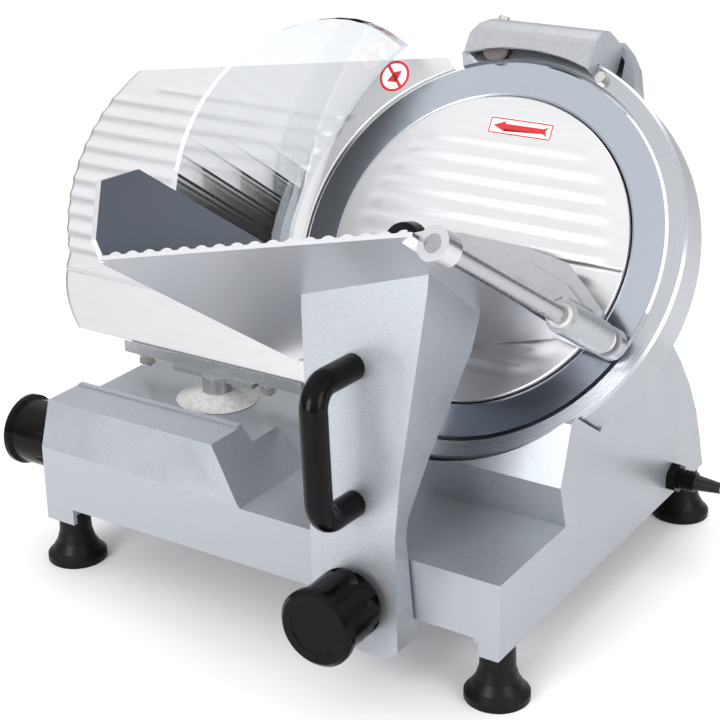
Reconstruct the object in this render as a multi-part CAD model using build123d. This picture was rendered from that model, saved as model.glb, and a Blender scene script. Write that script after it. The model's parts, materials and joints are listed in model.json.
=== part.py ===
"""A 300 mm deli slicer with a tilted blade, built as separate pieces in millimetres.

X runs along the carriage travel, Y from the carriage side to the slice side, Z up.
The origin is the middle of the four feet, on the surface that the slicer stands on.
Blade pieces are drawn in the blade frame: x along the travel, y up the blade face,
z out of the face towards the carriage. Tray pieces use the same frame turned by the
tray's slope.
"""
from build123d import *
from math import atan2, cos, degrees, pi, radians, sin, sqrt, tan
import os

os.makedirs("parts", exist_ok=True)

# ---------------------------------------------------------------- driving dimensions
blade_r = 150.0
blade_tilt = 33.8          # degrees that the blade leans back from upright
tray_slope = 15.8          # degrees that the tray rises along the travel
feet_x = 200.0
feet_y = 168.0
foot_height = 46.0
wall = 4.0                 # casting thickness of the base

casing_left = -205.0
casing_right = 214.0
casing_front = -194.0
deck_z = 107.0             # low front deck and slice deck
platform_z = 136.0         # surface that the gauge pillar slides over
box_z = 147.0              # raised box at the front left
housing_left = 10.0        # left side of the drive housing
platform_right = 42.0
notch_z = 60.0             # top of the opening under the front skirt

blade_centre = Vector(88, -6, 277)
blade_normal = Vector(0, -cos(radians(blade_tilt)), sin(radians(blade_tilt)))
blade_frame = Plane(origin=blade_centre, x_dir=(1, 0, 0), z_dir=blade_normal).location
tray_frame = blade_frame * Location((0, 0, 0), (0, 0, tray_slope))

# the pusher rod runs between two lugs, closing a little towards the tray's front
rod_back = Vector(113, -89, 5)
rod_front = Vector(80, -84, 238)
rod_length = (rod_front - rod_back).length
rod_frame = tray_frame * Plane(origin=rod_back, x_dir=(1, 0, 0), z_dir=rod_front - rod_back).location

# depths along the blade normal
ring_depth = 36.0
ring_outer_r = 167.0
ring_inner_r = 151.8
pocket_r = 170.0
cover_r = 123.0
pulley_back = -104.0
pulley_front = -88.0
boss_r = 62.0
boss_back = -114.0
journal_r = 10.0
rod_r = 4.0                # blade cover tie rod
motor_drop = 84.0          # motor axis below the blade axis, along the blade face
motor_r = 44.0
motor_front = -112.0
motor_back = -184.0
blade_pulley_r = 50.0
motor_pulley_r = 12.5

# carriage
tray_floor = -80.3         # underside of the tray in the tray frame
tray_left = -150.0
tray_right = 80.0
tray_near_blade = 3.0
tray_front_right = 68.0    # the same edge at the tray's front
pusher_rod_r = 6.5
slide_y = -120.0           # carriage guide rod
slide_z = 80.0
slide_r = 9.0
foot_x = 108.0             # middle of the carriage foot

# gauge
knob_y = -158.0
knob_z = 101.0
pillar_x = -106.0
pillar_y = -88.0

# running clearances
running = 0.05
shy = 0.4


# ---------------------------------------------------------------- small builders
def block(x0, x1, y0, y1, z0, z1):
    return Pos((x0 + x1) / 2, (y0 + y1) / 2, (z0 + z1) / 2) * Box(x1 - x0, y1 - y0, z1 - z0)


def disc(radius, z0, z1, x=0.0, y=0.0):
    base = (Align.CENTER, Align.CENTER, Align.MIN)
    return Pos(x, y, z0) * Cylinder(radius, z1 - z0, align=base)


def tube(outer, inner, z0, z1, x=0.0, y=0.0):
    return disc(outer, z0, z1, x, y) - disc(inner, z0 - 1, z1 + 1, x, y)


def rod_x(radius, x0, x1, y, z):
    return Pos(x0, y, z) * Rot(0, 90, 0) * disc(radius, 0, x1 - x0)


def rod_y(radius, y0, y1, x, z):
    return Pos(x, y0, z) * Rot(-90, 0, 0) * disc(radius, 0, y1 - y0)


def prism(plane, outline, depth):
    face = plane * Polygon(*outline, align=None)
    return extrude(face, amount=depth, dir=plane.z_dir)


def prism_x(outline, x0, x1):
    """An outline of (y, z) points, extruded along X."""
    return prism(Plane.YZ.offset(x0), outline, x1 - x0)


def prism_y(outline, y0, y1):
    """An outline of (x, z) points, extruded along Y."""
    return prism(Plane.XZ.offset(-y1), outline, y1 - y0)


def prism_z(outline, z0, z1):
    """An outline of (x, y) points, extruded along Z."""
    return prism(Plane.XY.offset(z0), outline, z1 - z0)


def spun(profile):
    """A profile of (radius, height) points turned about the local Z axis."""
    face = Plane.XZ * Polygon(*profile, align=None)
    return revolve(face, Axis.Z)


def hex_head(across, z0, z1, x=0.0, y=0.0):
    radius = across / sqrt(3)
    return Pos(x, y, z0) * extrude(RegularPolygon(radius, 6), amount=z1 - z0)


def screw(thread_r, length, head_r, head_h):
    """A screw whose head starts at z = 0 and whose shank runs down."""
    body = disc(thread_r, -length, 0) + disc(head_r, 0, head_h)
    socket = hex_head(head_r, head_h - head_r * 0.5, head_h + 1)
    return body - socket


def arc_points(radius, start, end, count, centre=(0.0, 0.0)):
    angles = [radians(start + (end - start) * i / (count - 1)) for i in range(count)]
    return [(centre[0] + radius * cos(a), centre[1] + radius * sin(a)) for a in angles]


def save(name, *solids):
    solids = [s for group in solids for s in group.solids()]
    shape = solids[0] if len(solids) == 1 else Compound(children=solids)
    export_step(shape, f"parts/{name}.step")


# ---------------------------------------------------------------- base casting
side_outline = [
    (-88, foot_height), (-93, deck_z), (-104, 143), (-90, 188), (16, 245), (58, 218),
    (90, 190), (114, 164), (136, 136), (153, 108), (167, 76), (178, foot_height),
]


def housing(inset):
    face = Polygon(*side_outline, align=None)
    if inset:
        face = offset(face, amount=-inset, kind=Kind.INTERSECTION)
    face = Plane.YZ.offset(housing_left + inset) * face
    return extrude(face, amount=casing_right - housing_left - 2 * inset, dir=(1, 0, 0))


def lower_tray(inset):
    outline = [
        (casing_front + inset, foot_height - inset), (casing_front + inset, deck_z - inset),
        (154 - inset, deck_z - inset), (167 - inset, 76), (178 - inset, foot_height - inset),
    ]
    return prism_x(outline, casing_left + inset, casing_right - inset)


def front_box(inset):
    lean = [
        (casing_front + inset, deck_z - 2 * wall), (casing_front + inset, 110),
        (-182 + inset, box_z - inset), (-146 - inset, box_z - inset), (-146 - inset, deck_z - 2 * wall),
    ]
    slope = [
        (casing_left + inset, deck_z - 2 * wall), (casing_left + inset, box_z - inset),
        (-41 - inset / 2, box_z - inset), (-7 - inset / 2, deck_z - inset),
        (-7 - inset, deck_z - 2 * wall),
    ]
    return prism_x(lean, -300, 100) & prism_y(slope, -300, 0)


def platform(inset):
    """The low table behind the front box; its left part carries on the box's sloping end."""
    right = platform_right - inset
    left = casing_left + inset
    back = -44 - inset
    low = deck_z - 2 * wall
    top = platform_z - inset
    section = [(-104 + inset, low), (-104 + inset, deck_z), (-108 + inset, top), (back, top), (back, low)]
    slope = [(left, low), (left, top), (-31.7 - inset / 2, top), (-7 - inset / 2, deck_z - inset),
             (-7 - inset, low)]
    return prism_x(section, -33 - inset, right) + prism_y(slope, -146 + inset, back)


def base_body():
    pocket = blade_frame * disc(pocket_r, -ring_depth, 200)
    outer = lower_tray(0) + front_box(0) + platform(0) + housing(0)
    lip_top = box_z + 1.5
    outer += prism_y([(casing_left + 1, platform_z - wall), (casing_left + 1, lip_top), (-42.3, lip_top),
                      (-28.3, platform_z - wall)], -147, -142)
    outer -= pocket
    outer += blade_frame * disc(boss_r, boss_back, -ring_depth)
    inner = lower_tray(wall) + front_box(wall) + platform(wall)
    drive_room = housing(wall) - blade_frame * disc(pocket_r + wall, -ring_depth - wall, 200)
    drive_room += blade_frame * disc(boss_r - wall, boss_back + wall, -ring_depth - wall)
    inner += drive_room
    body = outer - inner
    body -= block(casing_left + 28, 198, casing_front - 1, casing_front + 2 * wall,
                  foot_height - 1, notch_z)
    pads = None
    for x in (-feet_x, feet_x):
        for y in (-feet_y, feet_y):
            pad = block(x - 13, x + 13, y - 13, y + 10, foot_height, foot_height + 16)
            pads = pad if pads is None else pads + pad
    body += pads & lower_tray(0)
    body -= cut_holes()
    for item in casing_screws():
        body -= item
    return body


def cut_holes():
    holes = blade_frame * disc(27, -ring_depth - 2 * wall, -ring_depth + 1)
    holes += blade_frame * disc(rod_r + 0.6, boss_back - 1, boss_back + 2 * wall)
    holes += rod_x(6.0 + running, casing_left - 1, casing_left + 2 * wall, knob_y, knob_z)
    holes += block(pillar_x - 15, pillar_x + 15, pillar_y - 15, pillar_y + 29,
                   platform_z - 2 * wall, platform_z + 1)
    holes += rod_x(8, casing_right - 2 * wall, casing_right + 1, gland_y, gland_z)
    holes += block(casing_left + wall, gauge_x + 16, -154, -138, 98, 126)
    for x in (-feet_x, feet_x):
        for y in (-feet_y, feet_y):
            holes += disc(4.0, foot_height - 1, foot_height + 14, x, y)
    for y in (button_y, button_y + button_pitch):
        holes += rod_x(8.5, casing_left - 1, casing_left + 2 * wall, y, button_z)
    return holes


def bottom_plate():
    plate = block(casing_left + wall, casing_right - wall, casing_front + wall, 166,
                  notch_z, notch_z + 2)
    plate -= block(-166, 160, slide_y - 14, slide_y + 14, notch_z - 1, notch_z + 3)
    for x in (-feet_x, feet_x):
        plate -= block(x - 15, x + 15, -feet_y - 15, -feet_y + 12, notch_z - 1, notch_z + 3)
        plate -= block(x - 15, x + 15, feet_y - 17, feet_y + 15, notch_z - 1, notch_z + 3)
    plate -= block(casing_right - 16, casing_right, gland_y - 12, gland_y + 12, notch_z - 1, notch_z + 3)
    for item in casing_screws():
        plate -= item
    return plate


def feet():
    profile = [(0, 0), (24.5, 0), (24.5, 5), (20, 10), (16, 17), (13.5, 26), (12.8, foot_height)]
    profile += [(0, foot_height)]
    rubber = spun(profile) - disc(4.0, 20, foot_height + 1)
    return [Pos(x, y, 0) * rubber for x in (-feet_x, feet_x) for y in (-feet_y, feet_y)]


def foot_studs():
    stud = disc(4.0, 20, foot_height + 14)
    return [Pos(x, y, 0) * stud for x in (-feet_x, feet_x) for y in (-feet_y, feet_y)]


# ---------------------------------------------------------------- blade head
ring_start = -112.0
ring_end = 112.0
truing_u = -30.0           # sharpening stones, in the blade frame
truing_v = 157.0
grinding_u = 20.0
grinding_v = 150.0


def blade_guard_ring():
    lip = 3.0
    profile = [
        (ring_inner_r, -lip), (ring_inner_r + 1.5, 0), (ring_outer_r - 2, 0), (ring_outer_r, -2),
        (ring_outer_r, -ring_depth), (ring_inner_r + 3, -ring_depth), (ring_inner_r, -ring_depth + 6),
    ]
    face = Plane.XZ * Polygon(*profile, align=None)
    ring = revolve(face, Axis.Z, ring_end - ring_start)
    ring = Rot(0, 0, ring_start) * ring
    window = disc(4.0, -ring_depth - 1, 1, truing_u, truing_v)
    window += block(grinding_u - 18, grinding_u + 18, 140, 165, -ring_depth - 1, -6)
    return blade_frame * (ring - window)


def slicing_blade():
    profile = [
        (11, -18), (11, -13), (118, -13), (124.5, -3), (126, -2.6), (blade_r, 0),
        (blade_r, -0.6), (131, -7), (126, -18),
    ]
    blade = spun(profile)
    for i in range(4):
        angle = radians(45 + 90 * i)
        blade -= disc(2.5, -30, 0, 21 * cos(angle), 21 * sin(angle))
    return blade_frame * blade


def blade_screws():
    screws = []
    for i in range(4):
        angle = radians(45 + 90 * i)
        screws.append(blade_frame * Pos(21 * cos(angle), 21 * sin(angle), -13) * screw(2.5, 11, 4.5, 3))
    return screws


def blade_spindle():
    spindle = disc(30, -24, -18) + disc(journal_r, -108, -18) + disc(10.8, -18, -13.5)
    spindle += disc(16, -30, -24)
    spindle -= disc(5, -120, 0)
    for i in range(4):
        angle = radians(45 + 90 * i)
        spindle -= disc(2.5, -30, 0, 21 * cos(angle), 21 * sin(angle))
    return blade_frame * spindle


def grooved_pulley(radius, bore):
    pitch = 2.34
    profile = [(bore, pulley_back), (radius + 2, pulley_back), (radius + 2, pulley_back + 1)]
    grooves = 5
    start = pulley_back + 2
    for i in range(grooves):
        z = start + i * pitch
        profile += [(radius, z), (radius - 1.4, z + pitch / 2)]
    profile += [(radius, start + grooves * pitch), (radius + 2, pulley_front - 1)]
    profile += [(radius + 2, pulley_front), (bore, pulley_front)]
    return spun(profile)


def driven_pulley():
    pulley = grooved_pulley(blade_pulley_r, journal_r)
    for i in range(6):
        angle = radians(60 * i)
        pulley -= disc(9, -120, -60, 30 * cos(angle), 30 * sin(angle))
    return blade_frame * pulley


def drive_belt():
    gap = 0.5
    thick = 2.2
    z0 = pulley_back + 2.2
    z1 = pulley_front - 2.2

    def loop(extra):
        big = blade_pulley_r + gap + extra
        small = motor_pulley_r + gap + extra
        lean = degrees(atan2(big - small, motor_drop))
        cross = radians(lean)
        right_top = (big * cos(cross), -big * sin(cross))
        right_low = (small * cos(cross), -motor_drop - small * sin(cross))
        left_low = (-right_low[0], right_low[1])
        left_top = (-right_top[0], right_top[1])
        body = prism_z([right_top, left_top, left_low, right_low], z0, z1)
        body += disc(big, z0, z1)
        body += disc(small, z0, z1, 0, -motor_drop)
        return body

    return blade_frame * (loop(thick) - loop(0))


def bearing_housing():
    body = tube(27, 20, -86, -ring_depth) + tube(40, 20, -ring_depth, -31)
    for i in range(4):
        angle = radians(90 * i)
        body -= disc(2.5, -50, -20, 34 * cos(angle), 34 * sin(angle))
    return blade_frame * body


def spindle_bearings():
    rings = []
    for z in (-46, -84):
        race = tube(20, journal_r + running, z, z + 12)
        groove = Pos(0, 0, z + 12) * tube(17, 13, -1, 1)
        rings.append(blade_frame * (race - groove))
    return rings


def blade_cover():
    plate = disc(cover_r, -4, 0) + disc(14, -12, -4)
    plate -= disc(rod_r, -13, -4)
    return blade_frame * (plate + face_ribs(8, 8.0, lambda v: ribs_in_disc(v, cover_r - 9)))


def ribs_in_disc(height, radius):
    if abs(height) >= radius:
        return None
    half = sqrt(radius * radius - height * height)
    return (-half, half)


rib_pitch = 15.5
rib_half = 6.4
rib_rise = 1.6
rib_r = (rib_half ** 2 + rib_rise ** 2) / (2 * rib_rise)


def face_ribs(count, lowest, span):
    """Low rounded ribs along x, each over the stretch that span(height) gives."""
    ribs = None
    start = lowest - rib_pitch * count
    for i in range(2 * count + 1):
        height = start + rib_pitch * i
        reach = span(height)
        if reach is None:
            continue
        rib = rod_x(rib_r, reach[0], reach[1], height, rib_rise - rib_r)
        rib &= block(reach[0], reach[1], height - rib_r, height + rib_r, -0.5, rib_rise + 1)
        ribs = rib if ribs is None else ribs + rib
    return ribs


def cover_tie_rod():
    return blade_frame * disc(rod_r, -134, -4)


def cover_knob():
    knob = spun([(0, -144), (14, -144), (18, -140), (18, -126), (14, -121), (9, -119), (9, -116), (0, -116)])
    for i in range(6):
        angle = radians(60 * i)
        knob -= disc(5, -146, -124, 21 * cos(angle), 21 * sin(angle))
    knob -= disc(rod_r + running, -136, -110)
    return blade_frame * knob


# ---------------------------------------------------------------- drive inside the housing
def at_motor(shape):
    return blade_frame * Pos(0, -motor_drop, 0) * shape


def motor_shell():
    shell = disc(motor_r, motor_back, motor_front) - disc(motor_r - 4, motor_back + 4, motor_front - 4)
    shell -= disc(7.0 + running, motor_back - 1, motor_front + 1)
    for i in range(12):
        groove = block(motor_r - 1.5, motor_r + 1, -1.5, 1.5, motor_back + 8, motor_front - 8)
        shell -= Rot(0, 0, 30 * i) * groove
    return at_motor(shell)


def motor_stator():
    return at_motor(tube(motor_r - 4, 29, motor_back + 16, motor_front - 16))


def motor_rotor():
    core = disc(28.4, motor_back + 18, motor_front - 18)
    return at_motor(core + disc(7.0, motor_back + 0.5, pulley_front))


def motor_pulley():
    return at_motor(grooved_pulley(motor_pulley_r, 7.0))


def motor_mount():
    plate = block(-58, 58, -44, 40, motor_front, motor_front + 4) - disc(20, -130, -90)
    for x in (-50, 50):
        for y in (-36, 30):
            plate += disc(5, motor_front + 4, -ring_depth - wall, x, y)
    return at_motor(plate)


def run_capacitor():
    return Pos(178, 40, 62) * (disc(20, 0, 84) + disc(16, 84, 88))


def control_box():
    box = block(-110, -30, 40, 100, notch_z + 2, notch_z + 30)
    box += block(-104, -36, 46, 94, notch_z + 30, notch_z + 33)
    return box


def casing_screws():
    screws = []
    for x in (-180, -60, 60, 180):
        for y in (-150, 130):
            screws.append(Pos(x, y, notch_z) * Rot(180, 0, 0) * screw(2.4, 2, 4.5, 2.6))
    for i in range(4):
        angle = radians(90 * i)
        spot = Pos(34 * cos(angle), 34 * sin(angle), -31)
        screws.append(blade_frame * spot * screw(2.5, 5, 4.5, 2.6))
    screws.append(Pos(190, -93, 166) * Rot(72, 0, 0) * screw(2.4, 3, 4.5, 3.0))
    slotted = disc(8, 0, 1.4) + disc(4.6, 1.4, 7) - block(-6, 6, -0.7, 0.7, 5.2, 8)
    screws.append(blade_frame * Pos(-44, sharp_top, -18) * Rot(-90, 0, 0) * slotted)
    screws.append(blade_frame * Pos(63, 145, 0) * (disc(5, 0, 1) + hex_head(8, 1, 6)))
    return screws


# ---------------------------------------------------------------- switch
button_y = 4.0
button_pitch = 26.0
button_z = 84.0


def switch_plate():
    plate = block(casing_left - 4, casing_left, button_y - 16, button_y + button_pitch + 16,
                  button_z - 17, button_z + 17)
    plate = fillet(plate.edges().filter_by(Axis.X), 5)
    for y in (button_y, button_y + button_pitch):
        plate += rod_x(8.4, casing_left, casing_left + 26, y, button_z)
        plate -= rod_x(7.0 + running, casing_left - 5, casing_left + 20, y, button_z)
    return plate


def button(y, proud):
    cap = rod_x(7.0, casing_left - proud, casing_left + 12, y, button_z)
    return fillet(cap.edges().group_by(Axis.X)[0], 1.2)


# ---------------------------------------------------------------- carriage guides and foot
def carriage_rod():
    return rod_x(slide_r, casing_left + wall + 2, casing_right - wall - 2, slide_y, slide_z)


def rod_brackets():
    brackets = []
    for x in (casing_left + wall, casing_right - wall - 12):
        block_at = block(x, x + 12, slide_y - 15, slide_y + 15, notch_z + 2, 98)
        bar_end = block(x, x + 12, slide_y + 15, guide_y + 12, notch_z + 2, 82)
        cut = rod_x(slide_r, x - 1 + 3 * (x < 0), x + 10 + 3 * (x < 0), slide_y, slide_z)
        slot = block(x - 1, x + 13, guide_y - 6, guide_y + 6, 66, 90)
        brackets.append(block_at + bar_end - cut - slot)
    for y in (-141, -54):
        hanger = block(gauge_x - 12, gauge_x + 12, y, y + 6, gauge_rod_z - 8, platform_z - wall)
        brackets.append(hanger - rod_y(gauge_rod_r, y - 1, y + 7, gauge_x, gauge_rod_z))
    return brackets


guide_y = -62.0
gauge_x = -172.0
gauge_rod_z = 119.0
gauge_rod_r = 6.0


def guide_bar():
    return block(casing_left + wall, casing_right - wall, guide_y - 6, guide_y + 6, 66, 78)


def carriage_foot():
    body = block(foot_x - 30, foot_x + 30, slide_y - 17, slide_y + 17, 64, 98)
    body += block(foot_x - 20, foot_x + 20, slide_y - 10, slide_y + 10, 47, 64)
    body += block(foot_x - 20, foot_x + 20, -196.5, slide_y + 10, 47, 57)
    body += block(foot_x - 10, foot_x + 10, slide_y + 17, guide_y + 10, 78 + shy, 90)
    body -= rod_x(12.5, foot_x - 40, foot_x + 40, slide_y, slide_z)
    return body


def carriage_bushes():
    bushes = []
    for x in (foot_x - 30, foot_x + 12):
        bush = rod_x(12.5, x, x + 18, slide_y, slide_z)
        bushes.append(bush - rod_x(slide_r + running, x - 1, x + 19, slide_y, slide_z))
    return bushes


arm_front = [
    (53, 345), (53, 284), (75, 66), (75, 48), (83, 39), (140, 39), (148, 47), (140, 130),
    (141, 174), (153, 310), (153, 345),
]
arm_side = [
    (-222, 38), (-186, 340), (-108, 340), (-110, 265), (-117, 241), (-193.5, 139), (-196.5, 125),
    (-196.5, 38),
]
arm_room = [(-179, 340), (-197, 190), (-186, 168), (-126, 255), (-120, 340)]
lock_x = 110.0
lock_z = 78.0


def carriage_arm():
    arm = prism_x(arm_side, 30, 190) & prism_y(arm_front, -240, -20)
    arm -= prism_x(arm_room, 62, 134)
    arm -= tray_frame * block(-200, 200, tray_floor, 200, -50, 400)
    arm -= rod_y(5 + running, -240, -199, lock_x, lock_z)
    return arm


handle_x = 101.5
handle_z = 196.7
handle_r = 9.9
handle_reach = 46.0
handle_sink = 8.0          # how far its middle line starts behind the arm's face
handle_half = 49.5
handle_bend = 17.0


def arm_handle():
    """A bridge grip on the arm's leaning front face, nearly upright and in line with its left edge."""
    face_lean = atan2(36, 302)
    middle = Vector(handle_x, -222 + (handle_z - 38) * tan(face_lean) + handle_sink, handle_z)
    lean = radians(2.5)
    up = Vector(-0.07, sin(lean), cos(lean)).normalized()
    out = Vector(0, -cos(lean), sin(lean))
    half = handle_half
    path = FilletPolyline(
        middle - up * half, middle - up * half + out * (handle_reach + handle_sink),
        middle + up * half + out * (handle_reach + handle_sink), middle + up * half, radius=handle_bend)
    section = Plane(origin=path @ 0, z_dir=path % 0) * Circle(handle_r)
    return sweep(section, path) - prism_x(arm_side, 30, 190)


def fluted_knob(radius, length):
    """A knob from z = 0 (neck) to z = length (face), with shallow flutes that fade out towards the face."""
    neck = radius - 2.5
    knob = spun([(0, 0), (neck - 3, 0), (neck - 0.5, 1.5), (neck, 4), (neck - 0.5, length - 10),
                 (radius, length - 7), (radius, length - 3), (radius - 3, length),
                 (radius * 0.68, length), (radius * 0.64, length - 1.2), (0, length - 1.2)])
    flutes = 8
    for i in range(flutes):
        cut = Pos(neck + 4, 0, 2) * Rot(0, 9, 0) * disc(6.5, 0, length * 0.62)
        knob -= Rot(0, 0, 360 / flutes * (i + 0.5)) * cut
    return knob


def lock_knob():
    knob = fluted_knob(29.5, 47)
    stem = disc(5, -22, 1)
    return Pos(lock_x, -222, lock_z) * Rot(90, 0, 0) * (knob + stem)


def thickness_knob():
    return Pos(casing_left - 3, knob_y, knob_z) * Rot(0, -90, 0) * fluted_knob(29.5, 49)


def gauge_cam():
    shaft = rod_x(6, casing_left - 3, casing_left + 21, knob_y, knob_z)
    return shaft + rod_x(20, casing_left + 10, casing_left + 18, knob_y, knob_z)


# ---------------------------------------------------------------- thickness gauge
def gauge_plate():
    left_arc = arc_points(150, 141, 212, 9, (-256, 6))
    low_left = [(-379, -104), (-364, -124), (-350, -134)]
    right_arc = arc_points(153, 239, 115, 15)
    outline = left_arc + low_left + [(-92, -135)] + right_arc + [(-75, 147)]
    plate = prism_z(outline, -4, 0)
    plate -= block(-500, 0, -160, -84, -1.2, 5)

    def span(height):
        if height > 92 or height < -78:
            return None
        left = -256 - sqrt(150 ** 2 - (height - 6) ** 2) + 12
        right = -sqrt(167.0 ** 2 - height ** 2) - 2
        if height > 70:
            left += 40
        return (left, right)

    return blade_frame * (plate + face_ribs(6, 9.5, span))


def gauge_bracket():
    """The bar along the plate's lower edge, standing on the pillar that slides in the base."""
    bar = block(-203, -22, -88, -66, 157, 167)
    bar -= blade_frame * block(-400, 0, -136.5, 0, -4, 30)
    bar += blade_frame * block(-290, -125, -136, -108, -13, -4)
    bar += block(pillar_x - 42, pillar_x + 38, -92, -72, 153, 157)
    bar += disc(12, platform_z - 8, 157, pillar_x, pillar_y)
    return bar


def slot_dish():
    """A shallow cone round the pillar that covers its slot."""
    cone = Cone(34, 13.5, 7, align=(Align.CENTER, Align.CENTER, Align.MIN))
    pillar = disc(12, platform_z - 20, 160, pillar_x, pillar_y)
    return Pos(pillar_x, pillar_y, platform_z + shy) * cone - pillar


def gauge_bolts():
    bolts = []
    for x in (-184, -60):
        bolt = disc(4, 146.5, 149) + hex_head(13, 149, 155) + disc(8, 155, 157)
        bolts.append(Pos(x, -81, 0) * bolt)
    return bolts


def gauge_slider():
    body = block(gauge_x - 14, gauge_x + 14, -128, -100, 108, 129)
    body += block(gauge_x - 14, pillar_x + 12, -100, pillar_y + 12, 117, platform_z - 8)
    body -= rod_y(gauge_rod_r + running, -140, -60, gauge_x, gauge_rod_z)
    body += block(gauge_x - 13, gauge_x - 7, -140, -128, 97, 110)
    body += rod_x(3, casing_left + 21 + shy, gauge_x - 8, knob_y + 21, knob_z)
    return body


def gauge_rod():
    return rod_y(gauge_rod_r, -141, -48, gauge_x, gauge_rod_z)


# ---------------------------------------------------------------- food tray and pusher
def food_tray():
    skin = 3.0
    front_left = 272.0
    front_right = 250.0
    slant = (tray_right - tray_front_right) / (front_right - tray_near_blade)
    floor = prism_y([(tray_left, tray_near_blade), (tray_right, tray_near_blade),
                     (tray_front_right, front_right), (tray_left, front_left)], tray_floor, tray_floor + skin)
    trim = prism_y([(tray_left, tray_near_blade), (tray_right - 4, tray_near_blade),
                    (tray_front_right - 4, front_right - 1), (tray_left, front_left - 1)],
                   tray_floor + 1, tray_floor + 10)
    ribs = None
    for i in range(tray_ribs):
        s = tray_left + tray_rib_pitch * (i + 0.8)
        rib = disc(tray_rib_r, 0, 300, s, tray_floor + skin + 2.4 - tray_rib_r)
        ribs = rib if ribs is None else ribs + rib
    ribs &= trim
    end_wall = [(tray_near_blade, tray_floor), (tray_near_blade, -2), (238, -4), (279, -27),
                (279, -68), (266, tray_floor)]
    end_wall = prism_x([(w, n) for n, w in end_wall], tray_left - 4, tray_left)
    tray = floor + ribs + end_wall
    for start, end in ((0, 9), (rod_length - 10, rod_length + 6)):
        height = rod_back.Z + start
        edge = tray_right - slant * height
        bore = rod_back + (rod_front - rod_back) * (start + end) / 2 / rod_length
        arm = prism_z([(edge - 12, tray_floor), (bore.X - 3, bore.Y - 11), (bore.X + 4, bore.Y + 11),
                       (edge - 12, tray_floor + skin + 2)], height + 1.5, height + end - start - 5)
        tray += arm + rod_in_tray(12, start, end)
    tray -= rod_in_tray(pusher_rod_r, -20, rod_length + 30)
    tray = tray_frame * tray
    for item in guard_screws():
        tray -= item
    return tray


tray_ribs = 17
tray_rib_pitch = 12.6
tray_rib_r = 6.0


def rod_in_tray(radius, start, end):
    """A round piece on the pusher rod's axis, in the tray frame."""
    line = Plane(origin=rod_back, x_dir=(1, 0, 0), z_dir=rod_front - rod_back).location
    return line * disc(radius, start, end)


def pusher_rod():
    return rod_frame * disc(pusher_rod_r, 0, rod_length + 5.8)


# stretches along the rod that the pusher takes up at rest
bush_back = 12.0
bush_front = 79.0
sleeve_back = 21.0
sleeve_front = 77.0
sleeve_r = 12.5
bush_r = 9.0
plate_n = 24.0             # front face of the pusher plate, in the tray frame


def pusher_bush():
    return rod_frame * tube(bush_r, pusher_rod_r + running, bush_back, bush_front)


def pusher_sleeve():
    sleeve = rod_in_tray(sleeve_r, sleeve_back, sleeve_front)
    web = prism_y([(104, plate_n), (52, plate_n), (56, plate_n + 8), (95, sleeve_front - 16),
                   (98, sleeve_front - 20)], -73, -67)
    web += prism_z([(110, -80), (100, -80), (70, -60), (44, -34), (54, -26), (86, -48)], plate_n, plate_n + 5)
    sleeve += web
    sleeve -= rod_in_tray(bush_r + running, 0, 120)
    return tray_frame * sleeve


def pusher_plate():
    top = [(-52, 8), (-2, 3), (51, -14), (83, -29), (97, -48), (112, -70)]
    plate = prism_z(top + [(110, -76), (-44, -72), (-56, -58)], plate_n - 6, plate_n)
    teeth = Align.CENTER, Align.CENTER, Align.MIN
    for row in range(3):
        for column in range(6):
            spot = Pos(-36 + 20 * column, -62 + 14 * row, plate_n - 6)
            plate += spot * Rot(180, 0, 0) * Cone(4, 0.6, 5, align=teeth)
    plate -= rod_in_tray(sleeve_r + 0.3, 0, 120)
    return tray_frame * plate


def pusher_knob():
    knob = spun([(0, 0), (6, 0), (6, 12), (15, 20), (18, 32), (14, 42), (0, 46)])
    return tray_frame * Pos(-32, -13, plate_n) * knob


# clear guard: a bent sheet that rises from the tray's end wall and leans over it
guard_bend_r = 220.0
guard_thick = 4.0


def clear_guard():
    centre = (tray_left - 4 + guard_bend_r, 0)
    inner = arc_points(guard_bend_r, 180, 126, 15, centre)
    outer = arc_points(guard_bend_r + guard_thick, 126, 180, 15, centre)
    sheet = prism_z([(tray_left - 4, -34)] + inner + outer + [(tray_left - 8, -34)], 3, 190)
    front = [(10 + 176 * cos(a) ** 0.8, -20 + 196 * sin(a) ** 0.8)
             for a in [radians(90 * i / 16) for i in range(16)]]
    outline = [(17, -34), (17, 26), (11, 69), (3, 112), (3, 177)] + front[::-1] + [(186, -34)]
    trim = prism_x([(w, n) for n, w in outline], -300, 200)
    guard = tray_frame * (sheet & trim)
    for item in guard_screws():
        guard -= item
    return guard


def guard_screws():
    screws = []
    for n in (40, 150):
        spot = Pos(tray_left - 8, -20, n) * Rot(0, -90, 0)
        screws.append(tray_frame * spot * screw(2.5, 4, 5, 3))
    return screws


# ---------------------------------------------------------------- sharpener
sharp_left = -52.0
sharp_right = 53.0
sharp_front = 15.0
sharp_top = 186.0
sharp_bend = 24.0
sharp_lip_r = 157.0
sharp_back = -37.0


def sharpener_profile(inset, back):
    """The cover's section as (height, depth) points: flat top, rounded shoulder, short front."""
    bend = arc_points(sharp_bend - inset, 0, 90, 9, (sharp_top - sharp_bend, sharp_front - sharp_bend))
    return [(sharp_top - inset, back)] + bend + [(130, sharp_front - inset), (130, back)]


def around_ring():
    return disc(sharp_lip_r, -60, 40) + disc(ring_outer_r + 0.2, -ring_depth - 0.2, 0.2)


def sharpener_cover():
    shell = prism_x(sharpener_profile(0, sharp_back), sharp_left, sharp_right)
    ends = [(sharp_left, 130), (sharp_left, 164), (sharp_left + 4, 175), (sharp_left + 15, 190),
            (sharp_right, 190), (sharp_right, 130)]
    shell &= prism_z(ends, -60, 40)
    room = prism_x(sharpener_profile(3, sharp_back - 1), sharp_left + 3, sharp_right + 1)
    return blade_frame * (shell - room - around_ring())


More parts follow.
